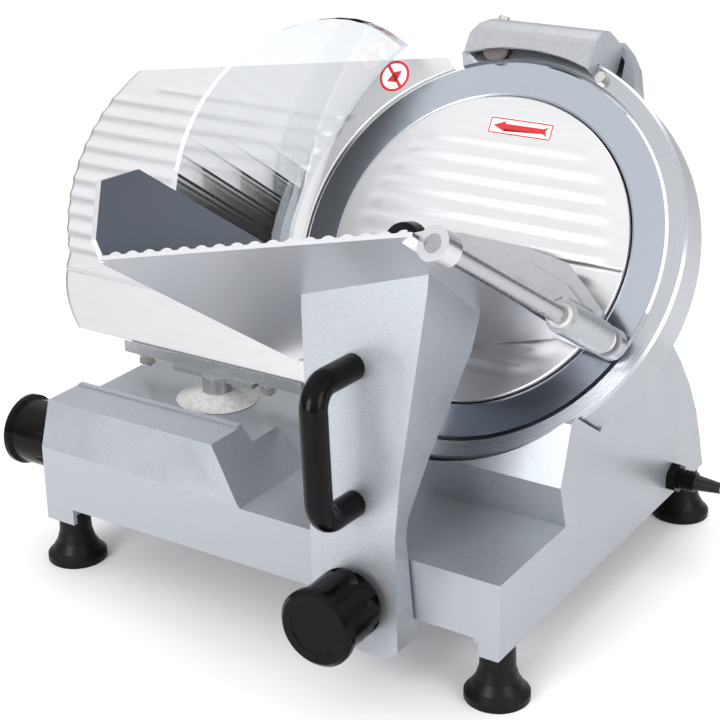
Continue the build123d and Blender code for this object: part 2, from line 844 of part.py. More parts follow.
def sharpener_bracket():
    """The painted housing behind the ring, with the end wall that closes the cover."""
    outline = [(-48, 150), (-48, 172), (-36, 190), (sharp_right + 3, 190), (66, 177), (74, 156), (77, 140),
               (60, 140)]
    outline += [(60 - 12 * i, sqrt(152 ** 2 - (60 - 12 * i) ** 2)) for i in range(10)]
    case = prism_z(outline, -60, sharp_back)
    case -= prism_z([(-44, 158), (-44, 170), (-34, 186), (50, 186), (60, 175), (62, 150), (50, 149),
                     (20, 156), (0, 158)], -55, sharp_back + 1)
    case += block(-12, -4, ring_outer_r - 6, 178, -56, -ring_depth)
    wall_end = prism_x(sharpener_profile(0, sharp_back), sharp_right, sharp_right + 3)
    case += wall_end - around_ring()
    for x, y in ((truing_u, truing_v), (grinding_u, grinding_v)):
        case += disc(6, -60, -ring_depth - 4, x, y)
        case -= disc(3.0 + running, -70, -30, x, y)
    return blade_frame * case


def grinding_stone():
    stone = disc(13, -25, -17) + disc(3, -70, -20) + disc(8, -76, -66.5)
    return blade_frame * Pos(grinding_u, grinding_v, 0) * stone


def truing_stone():
    stone = disc(10, 3.5, 8) + disc(3, -70, 4) + disc(8, -72, -61)
    return blade_frame * Pos(truing_u, truing_v, 0) * stone


def slice_deflector():
    profile = [(-80, -104), (-80, -62), (-104, -34), (-146, -30), (-146, -32), (-105, -36.2), (-82, -63),
               (-82, -104)]
    return blade_frame * prism_y(profile, -60, 60)


# ---------------------------------------------------------------- mains lead
gland_y = 107.0
gland_z = 64.0
cord_r = 3.5
cord_start_x = 258.0
coil_centre = (388.0, 154.0)
coil_mid_r = 40.0
coil_half = 10.6
coil_height = 14.4


def cable_gland():
    nut = Pos(casing_right, gland_y, gland_z) * Rot(0, 90, 0) * hex_head(22, 0, 8)
    barrel = rod_x(8.6, casing_right + 8, casing_right + 22, gland_y, gland_z)
    for i in range(3):
        x = casing_right + 10 + 4 * i
        barrel -= rod_x(12, x, x + 1.6, gland_y, gland_z) - rod_x(7.8, x, x + 1.6, gland_y, gland_z)
    thread = rod_x(8, casing_right - 10, casing_right, gland_y, gland_z)
    return nut + barrel + thread


def strain_relief():
    x0 = casing_right + 22
    sleeve = spun([(0, 0), (6.6, 0), (4.4, cord_start_x - x0), (0, cord_start_x - x0)])
    return Pos(x0, gland_y, gland_z) * Rot(0, 90, 0) * sleeve


cord_route = [
    (cord_start_x, gland_y, gland_z), (274, 107, 64), (291, 107, 58), (305, 107, 45), (315, 107, 29),
    (326.5, 107, 14), (342, 107, 5.8), (357, 107, 3.8), (367, 107, 3.6),
]
tail_route = [(435, 174, 10.8), (435.4, 187, 11.4), (437.8, 200, 14), (438, 213, 14)]


def bend_radii(route):
    radii = []
    for before, here, after in zip(route, route[1:], route[2:]):
        into = Vector(*here) - Vector(*before)
        out = Vector(*after) - Vector(*here)
        turn = radians(into.get_angle(out))
        radii.append(0.45 * min(into.length, out.length) / tan(turn / 2))
    return radii


def cord_tube(route):
    radii = bend_radii(route)
    print("bend radii", [round(r) for r in radii])
    path = FilletPolyline(*route, radius=radii)
    section = Plane(origin=path @ 0, z_dir=path % 0) * Circle(cord_r)
    tube_solid = sweep(section, path)
    print("tube volume over section times length", tube_solid.volume / (pi * cord_r ** 2 * path.length))
    return tube_solid


def cord_coil():
    coil = tube(coil_mid_r + coil_half, coil_mid_r - coil_half, 0, coil_height)
    return Pos(coil_centre[0], coil_centre[1], 0) * coil


def power_plug():
    taper = disc(5, 0, 16)
    body = Pos(0, 0, 16) * extrude(RectangleRounded(27, 27, 9), amount=30)
    pins = block(-7, -5.4, -3.2, 3.2, 46, 64) + block(5.4, 7, -3.2, 3.2, 46, 64)
    pins += disc(2.4, 46, 67, 0, 8)
    return Pos(438, 213, 14) * Rot(-90, 0, 0) * (taper + body + pins)


# ---------------------------------------------------------------- write every piece
save("base_body", base_body())
save("bottom_plate", bottom_plate())
save("rubber_feet", *feet())
save("foot_studs", *foot_studs())
save("blade_guard_ring", blade_guard_ring())
save("slicing_blade", slicing_blade())
save("blade_screws", *blade_screws())
save("blade_spindle", blade_spindle())
save("driven_pulley", driven_pulley())
save("drive_belt", drive_belt())
save("bearing_housing", bearing_housing())
save("spindle_bearings", *spindle_bearings())
save("blade_cover", blade_cover())
save("cover_tie_rod", cover_tie_rod())
save("cover_knob", cover_knob())
save("motor_shell", motor_shell())
save("motor_stator", motor_stator())
save("motor_rotor", motor_rotor())
save("motor_pulley", motor_pulley())
save("motor_mount", motor_mount())
save("run_capacitor", run_capacitor())
save("control_box", control_box())
save("casing_screws", *casing_screws())
save("switch_plate", switch_plate())
save("start_button", button(button_y, 8))
save("stop_button", button(button_y + button_pitch, 10))
save("carriage_rod", carriage_rod())
save("rod_brackets", *rod_brackets())
save("guide_bar", guide_bar())
save("carriage_foot", carriage_foot())
save("carriage_bushes", *carriage_bushes())
save("carriage_arm", carriage_arm())
save("arm_handle", arm_handle())
save("lock_knob", lock_knob())
save("thickness_knob", thickness_knob())
save("gauge_cam", gauge_cam())
save("gauge_plate", gauge_plate())
save("gauge_bracket", gauge_bracket())
save("slot_dish", slot_dish())
save("gauge_bolts", *gauge_bolts())
save("gauge_slider", gauge_slider())
save("gauge_rod", gauge_rod())
save("food_tray", food_tray())
save("pusher_rod", pusher_rod())
save("pusher_bush", pusher_bush())
save("pusher_sleeve", pusher_sleeve())
save("pusher_plate", pusher_plate())
save("pusher_knob", pusher_knob())
save("clear_guard", clear_guard())
save("guard_screws", *guard_screws())
save("sharpener_cover", sharpener_cover())
save("sharpener_bracket", sharpener_bracket())
save("grinding_stone", grinding_stone())
save("truing_stone", truing_stone())
save("slice_deflector", slice_deflector())
save("cable_gland", cable_gland())
save("strain_relief", strain_relief())
save("power_cord", cord_tube(cord_route), cord_tube(tail_route))
save("cord_coil", cord_coil())
save("power_plug", power_plug())
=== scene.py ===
"""Looks of the deli slicer: camera, lights, lead, materials and small surface pieces."""
import json
from math import cos, pi, radians, sin, sqrt

import bmesh
import bpy
from mathutils import Matrix, Vector


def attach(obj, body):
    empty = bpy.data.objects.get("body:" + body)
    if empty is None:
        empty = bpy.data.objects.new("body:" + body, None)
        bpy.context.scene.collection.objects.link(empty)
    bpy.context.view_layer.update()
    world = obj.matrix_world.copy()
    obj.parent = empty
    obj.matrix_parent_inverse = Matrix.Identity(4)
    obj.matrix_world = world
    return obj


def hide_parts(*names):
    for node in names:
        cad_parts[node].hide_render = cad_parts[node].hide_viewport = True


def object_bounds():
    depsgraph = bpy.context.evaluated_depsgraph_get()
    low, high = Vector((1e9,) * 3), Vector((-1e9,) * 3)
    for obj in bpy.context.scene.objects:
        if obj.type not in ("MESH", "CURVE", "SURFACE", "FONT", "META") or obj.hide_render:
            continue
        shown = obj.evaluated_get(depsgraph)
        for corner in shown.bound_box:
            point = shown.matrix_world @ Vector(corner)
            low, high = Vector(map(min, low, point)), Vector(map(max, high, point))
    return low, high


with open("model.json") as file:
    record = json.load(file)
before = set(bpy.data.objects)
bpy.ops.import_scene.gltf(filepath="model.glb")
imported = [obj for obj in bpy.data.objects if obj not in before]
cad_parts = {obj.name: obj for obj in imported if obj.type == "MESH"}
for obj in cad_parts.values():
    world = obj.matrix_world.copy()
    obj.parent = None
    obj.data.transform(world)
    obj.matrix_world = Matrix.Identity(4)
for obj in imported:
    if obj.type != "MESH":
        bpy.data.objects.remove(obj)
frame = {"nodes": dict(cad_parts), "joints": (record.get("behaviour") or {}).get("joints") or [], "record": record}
cad_low, cad_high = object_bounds()
nodes = frame["nodes"]
joints = {joint["name"]: joint for joint in frame["joints"]}

# ---------------------------------------------------------------- places read from the frame
blade_spin = joints["blade_spin"]
blade_centre = Vector(blade_spin["pos_m"])
blade_normal = Vector(blade_spin["axis"]).normalized()
blade_along = Vector((1, 0, 0))
blade_up = blade_normal.cross(blade_along)
blade_matrix = Matrix((blade_along, blade_up, blade_normal)).transposed().to_4x4()
blade_matrix.translation = blade_centre
tray_slope = radians(15.8)
tray_along = blade_along * cos(tray_slope) + blade_up * sin(tray_slope)


# ---------------------------------------------------------------- camera
def make_camera():
    azimuth = radians(32.9)
    elevation = radians(22.4)
    roll = radians(-0.7)
    back = Vector((sin(azimuth) * cos(elevation), -cos(azimuth) * cos(elevation), sin(elevation)))
    right = Vector((cos(azimuth), sin(azimuth), 0))
    up = back.cross(right)
    rolled_right = right * cos(roll) + up * sin(roll)
    rolled_up = up * cos(roll) - right * sin(roll)
    data = bpy.data.cameras.new("camera")
    data.sensor_width = 36
    data.lens = 85.26
    data.clip_end = 20
    camera = bpy.data.objects.new("camera", data)
    camera.matrix_world = Matrix((rolled_right, rolled_up, back)).transposed().to_4x4()
    camera.matrix_world.translation = Vector((0.6895, -1.1021, 0.6969))
    bpy.context.collection.objects.link(camera)
    bpy.context.scene.camera = camera


make_camera()

# ---------------------------------------------------------------- mains lead
# the route's points repeat the ones that part.py gives for the tube, here in metres
CORD_EXIT = (0.258, 0.107, 0.064)
CORD_ROUTE = [
    CORD_EXIT, (0.274, 0.107, 0.064), (0.291, 0.107, 0.058), (0.305, 0.107, 0.045), (0.315, 0.107, 0.029),
    (0.3265, 0.107, 0.014), (0.342, 0.107, 0.0058), (0.357, 0.107, 0.0038), (0.367, 0.107, 0.0036),
]
TAIL_ROUTE = [
    (0.435, 0.174, 0.0108), (0.4354, 0.187, 0.0114), (0.4378, 0.200, 0.014), (0.438, 0.213, 0.014),
]
CORD_RADIUS = 0.0035
COIL_CENTRE = (0.388, 0.154)
COIL_RINGS = (0.047, 0.040, 0.033)
COIL_LOW = 0.0036
COIL_HIGH = 0.0108
COIL_TURNS = 5.25
POINTS_A_TURN = 20


def smooth(value):
    value = min(1.0, max(0.0, value))
    return value * value * (3 - 2 * value)


def coil_points():
    """Two layers of three rings: inwards on the floor, one step up, then outwards on top."""
    points = []
    pitch = COIL_RINGS[0] - COIL_RINGS[1]
    for i in range(int(COIL_TURNS * POINTS_A_TURN) + 1):
        turn = i / POINTS_A_TURN
        lap = int(turn)
        part = turn - lap
        if lap < 2:
            radius = COIL_RINGS[lap] - pitch * smooth((part - 0.8) / 0.2)
            height = COIL_LOW
        elif lap == 2:
            radius = COIL_RINGS[2]
            height = COIL_LOW + (COIL_HIGH - COIL_LOW) * smooth((part - 0.55) / 0.25)
        else:
            steps = min(lap - 3, 2) + (smooth((part - 0.35) / 0.2) if lap < 5 else 0)
            radius = COIL_RINGS[2] + pitch * steps
            height = COIL_HIGH
        angle = 2 * pi * (turn - 0.25)
        points.append((COIL_CENTRE[0] + radius * cos(angle), COIL_CENTRE[1] + radius * sin(angle), height))
    return points


def make_cord():
    route = CORD_ROUTE + coil_points() + TAIL_ROUTE
    data = bpy.data.curves.new("mains_lead", "CURVE")
    data.dimensions = "3D"
    data.bevel_depth = CORD_RADIUS
    data.bevel_resolution = 5
    spline = data.splines.new("NURBS")
    spline.points.add(len(route) - 1)
    for point, place in zip(spline.points, route):
        point.co = (*place, 1)
    spline.order_u = 3
    spline.use_endpoint_u = True
    spline.resolution_u = 6
    lead = bpy.data.objects.new("mains_lead", data)
    bpy.context.collection.objects.link(lead)
    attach(lead, "root")
    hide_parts("power_cord", "cord_coil")


make_cord()


# ---------------------------------------------------------------- shader helpers
class Shader:
    """A Principled material with short calls for the nodes that feed it."""

    def __init__(self, name, colour, metallic=0.0, roughness=0.5):
        self.material = bpy.data.materials.new(name)
        self.material.use_nodes = True
        self.tree = self.material.node_tree
        self.bsdf = self.tree.nodes["Principled BSDF"]
        self.bsdf.inputs["Base Color"].default_value = (*colour, 1)
        self.bsdf.inputs["Metallic"].default_value = metallic
        self.bsdf.inputs["Roughness"].default_value = roughness
        self.colour = colour
        self.coords = self.node("ShaderNodeTexCoord").outputs["Object"]
        self.normal = None

    def node(self, kind, **settings):
        made = self.tree.nodes.new(kind)
        for key, value in settings.items():
            setattr(made, key, value)
        return made

    def link(self, source, target):
        self.tree.links.new(source, target)

    def stretch(self, scale):
        mapping = self.node("ShaderNodeMapping")
        mapping.inputs["Scale"].default_value = scale
        self.link(self.coords, mapping.inputs["Vector"])
        return mapping.outputs["Vector"]

    def noise(self, scale, detail=3.0, vector=None):
        made = self.node("ShaderNodeTexNoise")
        made.inputs["Scale"].default_value = scale
        made.inputs["Detail"].default_value = detail
        self.link(vector or self.coords, made.inputs["Vector"])
        return made.outputs["Fac"]

    def spread(self, value, low, high, from_low=0.3, from_high=0.7):
        made = self.node("ShaderNodeMapRange")
        made.inputs["From Min"].default_value = from_low
        made.inputs["From Max"].default_value = from_high
        made.inputs["To Min"].default_value = low
        made.inputs["To Max"].default_value = high
        self.link(value, made.inputs["Value"])
        return made.outputs["Result"]

    def tint(self, value, low, high):
        """Base colour between two multiples of the material's own colour."""
        ramp = self.node("ShaderNodeValToRGB")
        ramp.color_ramp.elements[0].position = 0.3
        ramp.color_ramp.elements[1].position = 0.7
        ramp.color_ramp.elements[0].color = (*[c * low for c in self.colour], 1)
        ramp.color_ramp.elements[1].color = (*[min(1, c * high) for c in self.colour], 1)
        self.link(value, ramp.inputs["Fac"])
        self.link(ramp.outputs["Color"], self.bsdf.inputs["Base Color"])

    def rough(self, value, low, high):
        self.link(self.spread(value, low, high), self.bsdf.inputs["Roughness"])

    def bump(self, value, distance, strength=1.0):
        made = self.node("ShaderNodeBump")
        made.inputs["Distance"].default_value = distance
        made.inputs["Strength"].default_value = strength
        self.link(value, made.inputs["Height"])
        if self.normal is not None:
            self.link(self.normal, made.inputs["Normal"])
        self.normal = made.outputs["Normal"]
        self.link(self.normal, self.bsdf.inputs["Normal"])

    def blade_radius(self):
        """Distance from the blade's axis at every point of the surface."""
        offset = self.node("ShaderNodeVectorMath", operation="SUBTRACT")
        offset.inputs[1].default_value = blade_centre
        self.link(self.coords, offset.inputs[0])
        along = self.node("ShaderNodeVectorMath", operation="CROSS_PRODUCT")
        along.inputs[1].default_value = blade_normal
        self.link(offset.outputs["Vector"], along.inputs[0])
        length = self.node("ShaderNodeVectorMath", operation="LENGTH")
        self.link(along.outputs["Vector"], length.inputs[0])
        return length.outputs["Value"]

    def turned_rings(self, pitch, distance, low, high):
        """Fine concentric lathe or grinding marks round the blade's axis."""
        radius = self.blade_radius()
        scaled = self.node("ShaderNodeMath", operation="MULTIPLY")
        scaled.inputs[1].default_value = 1 / pitch
        self.link(radius, scaled.inputs[0])
        marks = self.node("ShaderNodeTexNoise", noise_dimensions="1D")
        marks.inputs["Scale"].default_value = 1.0
        marks.inputs["Detail"].default_value = 4.0
        self.link(scaled.outputs["Value"], marks.inputs["W"])
        self.rough(marks.outputs["Fac"], low, high)
        self.bump(marks.outputs["Fac"], distance)
        return marks.outputs["Fac"]

    def facing(self, direction, start, end):
        """From 0 to 1 as the surface's normal turns towards that direction."""
        coords = self.node("ShaderNodeTexCoord")
        dot = self.node("ShaderNodeVectorMath", operation="DOT_PRODUCT")
        dot.inputs[1].default_value = direction
        self.link(coords.outputs["Normal"], dot.inputs[0])
        return self.spread(dot.outputs["Value"], 0.0, 1.0, start, end)

    def shade_over(self, mask, colour):
        """Base colour turns to another one where the mask is 1."""
        mix = self.node("ShaderNodeMixRGB")
        mix.inputs["Color2"].default_value = (*colour, 1)
        base = self.bsdf.inputs["Base Color"]
        self.link(base.links[0].from_socket, mix.inputs["Color1"])
        self.link(mask, mix.inputs["Fac"])
        self.link(mix.outputs["Color"], base)

    def set(self, **values):
        """Constant Principled inputs, named with underscores for spaces."""
        for key, value in values.items():
            self.bsdf.inputs[key.replace("_", " ")].default_value = value
        return self


# ---------------------------------------------------------------- materials
def body_paint():
    """Silver-grey stoved paint with a fine pebble and small metal flakes."""
    s = Shader("body_paint", (0.36, 0.38, 0.41), metallic=0.6, roughness=0.38)
    s.tint(s.noise(1500, 2), 0.84, 1.16)
    s.rough(s.noise(35, 3), 0.33, 0.43)
    s.bump(s.noise(1100, 2), 0.00007, 0.8)
    return s.set(Coat_Weight=0.15, Coat_Roughness=0.25).material


def bright_plate(name, colour, roughness, painted_wall_shade=False):
    """Anodised aluminium plate with brushed lines that run along the travel."""
    s = Shader(name, colour, metallic=0.85, roughness=roughness)
    brushed = s.noise(900, 4, s.stretch((0.03, 1, 1)))
    s.tint(brushed, 0.98, 1.02)
    s.rough(brushed, roughness - 0.03, roughness + 0.04)
    s.bump(s.noise(1500, 3, s.stretch((0.02, 1, 1))), 0.000004, 0.4)
    if painted_wall_shade:
        # painted shade: faces that look along the tray's travel (the inner face of the end wall) are turned a dark
        # blue-grey, standing in for the dark surroundings they reflect
        s.shade_over(s.facing(tray_along, 0.97, 0.99), (0.13, 0.15, 0.18))
    return s.material


def cast_metal(name, colour, roughness, pebble=0.00005):
    """Shot-blasted casting: fine mottling and a pebbled skin."""
    s = Shader(name, colour, metallic=0.85, roughness=roughness)
    s.tint(s.noise(260, 4), 0.94, 1.05)
    s.rough(s.noise(300, 4), roughness - 0.05, roughness + 0.07)
    s.bump(s.noise(1100, 3), pebble, 0.7)
    return s.material


def turned_metal(name, colour, low, high):
    """Steel turned or ground on a lathe, with rings round the blade's axis."""
    s = Shader(name, colour, metallic=1.0, roughness=low)
    marks = s.turned_rings(0.0006, 0.000012, low, high)
    s.tint(marks, 0.95, 1.05)
    return s.material


def bare_steel():
    """Ground round bar, polished along its length."""
    s = Shader("bare_steel", (0.42, 0.42, 0.43), metallic=1.0, roughness=0.25)
    lines = s.noise(1600, 3, s.stretch((1, 0.2, 0.2)))
    s.tint(lines, 0.96, 1.03)
    s.rough(lines, 0.22, 0.3)
    s.bump(lines, 0.000003, 0.4)
    return s.material


def zinc():
    """Zinc plating, slightly uneven from handling."""
    s = Shader("zinc", (0.62, 0.61, 0.57), metallic=1.0, roughness=0.3)
    s.tint(s.noise(500, 3), 0.85, 1.1)
    s.rough(s.noise(900, 3), 0.2, 0.38)
    s.bump(s.noise(2000, 2), 0.00002, 0.5)
    return s.material


def galvanised():
    """Dipped sheet steel with its spangle of crystals."""
    s = Shader("galvanised", (0.5, 0.52, 0.54), metallic=0.9, roughness=0.4)
    cells = s.node("ShaderNodeTexVoronoi")
    cells.inputs["Scale"].default_value = 160
    s.link(s.coords, cells.inputs["Vector"])
    flat = s.node("ShaderNodeSeparateColor")
    s.link(cells.outputs["Color"], flat.inputs["Color"])
    s.tint(flat.outputs["Red"], 0.86, 1.1)
    s.rough(flat.outputs["Green"], 0.32, 0.5)
    s.bump(s.noise(900, 3), 0.00002, 0.4)
    return s.material


def moulded(name, colour, low, high, pebble=0.00002, scale=1600, gloss=0.4):
    """Moulded plastic or rubber with a faint orange-peel skin."""
    s = Shader(name, colour, roughness=(low + high) / 2)
    s.tint(s.noise(220, 3), 0.85, 1.2)
    s.rough(s.noise(80, 4), low, high)
    s.bump(s.noise(scale, 3), pebble, 0.4)
    return s.set(Specular_IOR_Level=gloss).material


def clear_acrylic():
    """Clear bent sheet: see-through faces with a soft gloss, pale saw-cut edges."""
    s = Shader("clear_acrylic", (0.80, 0.87, 0.95), roughness=0.12)
    s.rough(s.noise(30, 3), 0.04, 0.1)
    s.bump(s.noise(40, 2), 0.00004, 0.3)
    s.set(IOR=1.45)
    clear = s.node("ShaderNodeBsdfTransparent")
    clear.inputs["Color"].default_value = (0.975, 0.985, 0.99, 1)
    shine = s.node("ShaderNodeBsdfGlossy")
    shine.inputs["Roughness"].default_value = 0.06
    fresnel = s.node("ShaderNodeFresnel")
    fresnel.inputs["IOR"].default_value = 1.2
    face = s.node("ShaderNodeMixShader")
    s.link(fresnel.outputs["Fac"], face.inputs["Fac"])
    s.link(clear.outputs["BSDF"], face.inputs[1])
    s.link(shine.outputs["BSDF"], face.inputs[2])
    rim = s.node("ShaderNodeMath", operation="ABSOLUTE")
    s.link(s.facing(blade_normal, 0.0, 1.0), rim.inputs[0])
    edge = s.spread(rim.outputs["Value"], 0.0, 1.0, 0.25, 0.5)
    mix = s.node("ShaderNodeMixShader")
    s.link(s.spread(edge, 0.0, 0.5, 0.0, 1.0), mix.inputs["Fac"])
    s.link(face.outputs["Shader"], mix.inputs[1])
    s.link(s.bsdf.outputs["BSDF"], mix.inputs[2])
    s.link(mix.outputs["Shader"], s.tree.nodes["Material Output"].inputs["Surface"])
    return s.material


def grit():
    """Bonded abrasive: coarse grey-brown grains."""
    s = Shader("abrasive", (0.16, 0.14, 0.13), roughness=0.9)
    cells = s.node("ShaderNodeTexVoronoi")
    cells.inputs["Scale"].default_value = 1500
    s.link(s.coords, cells.inputs["Vector"])
    s.tint(cells.outputs["Distance"], 0.7, 1.25)
    s.rough(cells.outputs["Distance"], 0.8, 0.95)
    s.bump(cells.outputs["Distance"], 0.0003, 0.8)
    return s.material


MAKERS = {
    "body_paint": body_paint,
    "ring_metal": lambda: turned_metal("ring_metal", (0.44, 0.455, 0.485), 0.24, 0.36),
    "plate_metal": lambda: bright_plate("plate_metal", (0.68, 0.68, 0.695), 0.34),
    # the tray's metal carries painted shade on the inner face of its end wall
    "tray_metal": lambda: bright_plate("tray_metal", (0.58, 0.585, 0.61), 0.36, painted_wall_shade=True),
    "blade_steel": lambda: turned_metal("blade_steel", (0.43, 0.465, 0.52), 0.14, 0.24),
    "bare_steel": bare_steel,
    "cast_grey": lambda: cast_metal("cast_grey", (0.42, 0.43, 0.45), 0.36),
    "black_plastic": lambda: moulded("black_plastic", (0.003, 0.003, 0.0035), 0.14, 0.22, gloss=0.1),
    "foot_rubber": lambda: moulded("foot_rubber", (0.004, 0.004, 0.0045), 0.32, 0.45, 0.00004, gloss=0.15),
    "cord_black": lambda: moulded("cord_black", (0.007, 0.007, 0.008), 0.4, 0.52, 0.00003, gloss=0.3),
    "clear": clear_acrylic,
    "galvanised": galvanised,
    "zinc": zinc,
    "white_nylon": lambda: moulded("white_nylon", (0.55, 0.55, 0.53), 0.38, 0.5, 0.00003),
    "motor_paint": lambda: moulded("motor_paint", (0.05, 0.055, 0.06), 0.4, 0.55, 0.00006),
    "winding": lambda: moulded("winding", (0.3, 0.15, 0.06), 0.35, 0.6, 0.0002, 700),
    "belt_rubber": lambda: moulded("belt_rubber", (0.02, 0.02, 0.02), 0.6, 0.8, 0.00005),
    "green_button": lambda: moulded("green_button", (0.01, 0.24, 0.06), 0.22, 0.34),
    "red_button": lambda: moulded("red_button", (0.45, 0.012, 0.012), 0.22, 0.34),
    "abrasive": grit,
    "bronze": lambda: cast_metal("bronze", (0.5, 0.33, 0.15), 0.35, 0.00003),
}


def paint_nodes():
    made = {slot: maker() for slot, maker in MAKERS.items()}
    for part in frame["record"]["subparts"]:
        obj = nodes[part["node"]]
        obj.data.materials.clear()
        obj.data.materials.append(made[part["material_slot"]])
    return made


materials = paint_nodes()


# ---------------------------------------------------------------- soft edges on castings
SHARPEST_PLAIN_EDGE = radians(28)
EDGE_WIDTHS = {
    "base_body": 0.0022, "carriage_arm": 0.0026, "sharpener_cover": 0.0008, "sharpener_bracket": 0.0012,
    "gauge_bracket": 0.0012, "pusher_plate": 0.001, "pusher_sleeve": 0.001,
}


def soften(node, width):
    bevel = nodes[node].modifiers.new("soft_edges", "BEVEL")
    bevel.width = width
    bevel.segments = 3
    bevel.limit_method = "ANGLE"
    bevel.angle_limit = SHARPEST_PLAIN_EDGE
    bevel.use_clamp_overlap = True


for node_name, edge_width in EDGE_WIDTHS.items():
    soften(node_name, edge_width)


# ---------------------------------------------------------------- printing inks
def ink(name, colour):
    s = Shader(name, colour, roughness=0.4)
    s.tint(s.noise(400, 2), 0.95, 1.05)
    s.rough(s.noise(200, 2), 0.35, 0.5)
    s.bump(s.noise(1500, 2), 0.00001, 0.4)
    return s.material


marks = {
    "label_red": ink("label_red", (0.55, 0.012, 0.018)),
    "label_white": ink("label_white", (0.82, 0.82, 0.8)),
}


# ---------------------------------------------------------------- pieces drawn in the blade's plane
def add_piece(name, mesh, body, slot, stands_for=None):
    """A new piece that rides on a body; slot is a material slot of the record, or an ink."""
    piece = bpy.data.objects.new(name, mesh)
    bpy.context.collection.objects.link(piece)
    piece.data.materials.append(materials[slot] if slot in materials else marks[slot])
    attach(piece, body)
    if stands_for:
        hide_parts(stands_for)


def grid_mesh(name, rows, depth):
    """A closed plate from rows of (x, y, z) points in the blade frame; its back is flat."""
    bm = bmesh.new()
    front = [[bm.verts.new(blade_matrix @ Vector(p)) for p in row] for row in rows]
    back = [[bm.verts.new(blade_matrix @ Vector((p[0], p[1], -depth))) for p in row] for row in rows]
    last = len(rows[0]) - 1
    for i in range(len(rows) - 1):
        for j in range(last):
            bm.faces.new((front[i][j], front[i][j + 1], front[i + 1][j + 1], front[i + 1][j]))
            bm.faces.new((back[i][j], back[i + 1][j], back[i + 1][j + 1], back[i][j + 1]))
        for j, flip in ((0, True), (last, False)):
            side = [front[i][j], front[i + 1][j], back[i + 1][j], back[i][j]]
            bm.faces.new(side if flip else side[::-1])
    for row, flip in ((0, False), (len(rows) - 1, True)):
        for j in range(last):
            side = [front[row][j], front[row][j + 1], back[row][j + 1], back[row][j]]
            bm.faces.new(side if flip else side[::-1])
    bmesh.ops.recalc_face_normals(bm, faces=bm.faces)
    mesh = bpy.data.meshes.new(name)
    bm.to_mesh(mesh)
    bm.free()
    for polygon in mesh.polygons:
        polygon.use_smooth = len(polygon.vertices) == 4 and abs(polygon.normal.dot(blade_normal)) > 0.5
    return mesh


RIB_PITCH = 0.0155
RIB_RISE = 0.0015
RIB_ROUNDNESS = 1.3
RIB_FADE = 0.008
PLATE_DEPTH = 0.004

# the gauge plate in the blade frame
PLATE_LOW = -0.135
PLATE_TOP = 0.147
TOP_EDGE_LEFT = (-0.3726, 0.1004)
TOP_EDGE_RIGHT = -0.075
LEFT_ARC_CENTRE = (-0.256, 0.006)
LEFT_ARC_RADIUS = 0.150
LEFT_ARC_LOW = (-0.3832, -0.0735)
BLADE_SIDE_RADIUS = 0.153
BLADE_SIDE_LOW = (-0.0789, -0.1311)
BLADE_SIDE_TOP = (-0.0647, 0.1387)
FLANGE_TOP = -0.086
FLANGE_STEP = 0.0012


def wave(height, lowest, fade_low, fade_high):
    """Rounded ribs along the travel, one every pitch, fading out past the two heights."""
    crest = 0.5 + 0.5 * cos(2 * pi * (height - lowest) / RIB_PITCH)
    inside = smooth((height - fade_low) / RIB_FADE) * smooth((fade_high - height) / RIB_FADE)
    return RIB_RISE * crest ** RIB_ROUNDNESS * inside


def plate_left(height):
    """The left side: the slanting top edge, an arc, and a curve into the low left corner."""
    if height > TOP_EDGE_LEFT[1]:
        rise = (height - TOP_EDGE_LEFT[1]) / (PLATE_TOP - TOP_EDGE_LEFT[1])
        return TOP_EDGE_LEFT[0] + rise * (TOP_EDGE_RIGHT - TOP_EDGE_LEFT[0])
    if height > LEFT_ARC_LOW[1]:
        return LEFT_ARC_CENTRE[0] - sqrt(LEFT_ARC_RADIUS ** 2 - (height - LEFT_ARC_CENTRE[1]) ** 2)
    corner_width = 0.0332
    corner_height = 0.0605
    return LEFT_ARC_LOW[0] + corner_width * ((LEFT_ARC_LOW[1] - height) / corner_height) ** 2.2


def plate_right(height):
    """The right side follows the blade, with a short slanting stretch at each end."""
    if height <= BLADE_SIDE_LOW[1]:
        return BLADE_SIDE_LOW[0] - (BLADE_SIDE_LOW[1] - height) * 3.4
    if height >= BLADE_SIDE_TOP[1]:
        return BLADE_SIDE_TOP[0] - (height - BLADE_SIDE_TOP[1]) * 1.24
    return -sqrt(BLADE_SIDE_RADIUS ** 2 - height * height)


def gauge_plate_mesh():
    """The ribbed gauge plate, with a plain flange along its lower edge."""
    columns = 90
    count = 240
    lowest_rib = 0.0095
    ribs_from, ribs_to = -0.074, 0.093
    blade_margin_radius = 0.166
    blade_fade = 0.014
    rows = []
    for i in range(count + 1):
        v = PLATE_LOW + (PLATE_TOP - PLATE_LOW) * i / count
        left = plate_left(v)
        right = plate_right(v)
        row = []
        for j in range(columns + 1):
            u = left + (right - left) * j / columns
            gap = blade_margin_radius - sqrt(u * u + v * v)
            fade = 1 - smooth(1 + gap / blade_fade)
            if v > 0.075:
                fade *= smooth((u - left - 0.03) / 0.02)
            step = -FLANGE_STEP * smooth((FLANGE_TOP - v) / 0.002)
            row.append((u, v, step + fade * wave(v, lowest_rib, ribs_from, ribs_to)))
        rows.append(row)
    return grid_mesh("gauge_plate_skin", rows, PLATE_DEPTH)


def cover_mesh():
    """A disc in rings and spokes, with the same ribs across its middle."""
    rim = 0.123
    pinhole = 0.0004
    plain_rim = 0.007
    rings = 72
    spokes = 180
    lowest_rib = 0.008
    ribs_from, ribs_to = -0.1, 0.09
    rows = []
    for i in range(rings + 1):
        radius = pinhole + (rim - pinhole) * i / rings
        fade = smooth((rim - plain_rim - radius) / 0.016)
        row = []
        for j in range(spokes + 1):
            angle = 2 * pi * j / spokes
            u = radius * cos(angle)
            v = radius * sin(angle)
            lean = smooth((0.122 - abs(u) - 0.28 * abs(v - 0.01)) / 0.03)
            row.append((u, v, fade * lean * wave(v, lowest_rib, ribs_from, ribs_to)))
        rows.append(row)
    return grid_mesh("cover_skin", rows, PLATE_DEPTH)


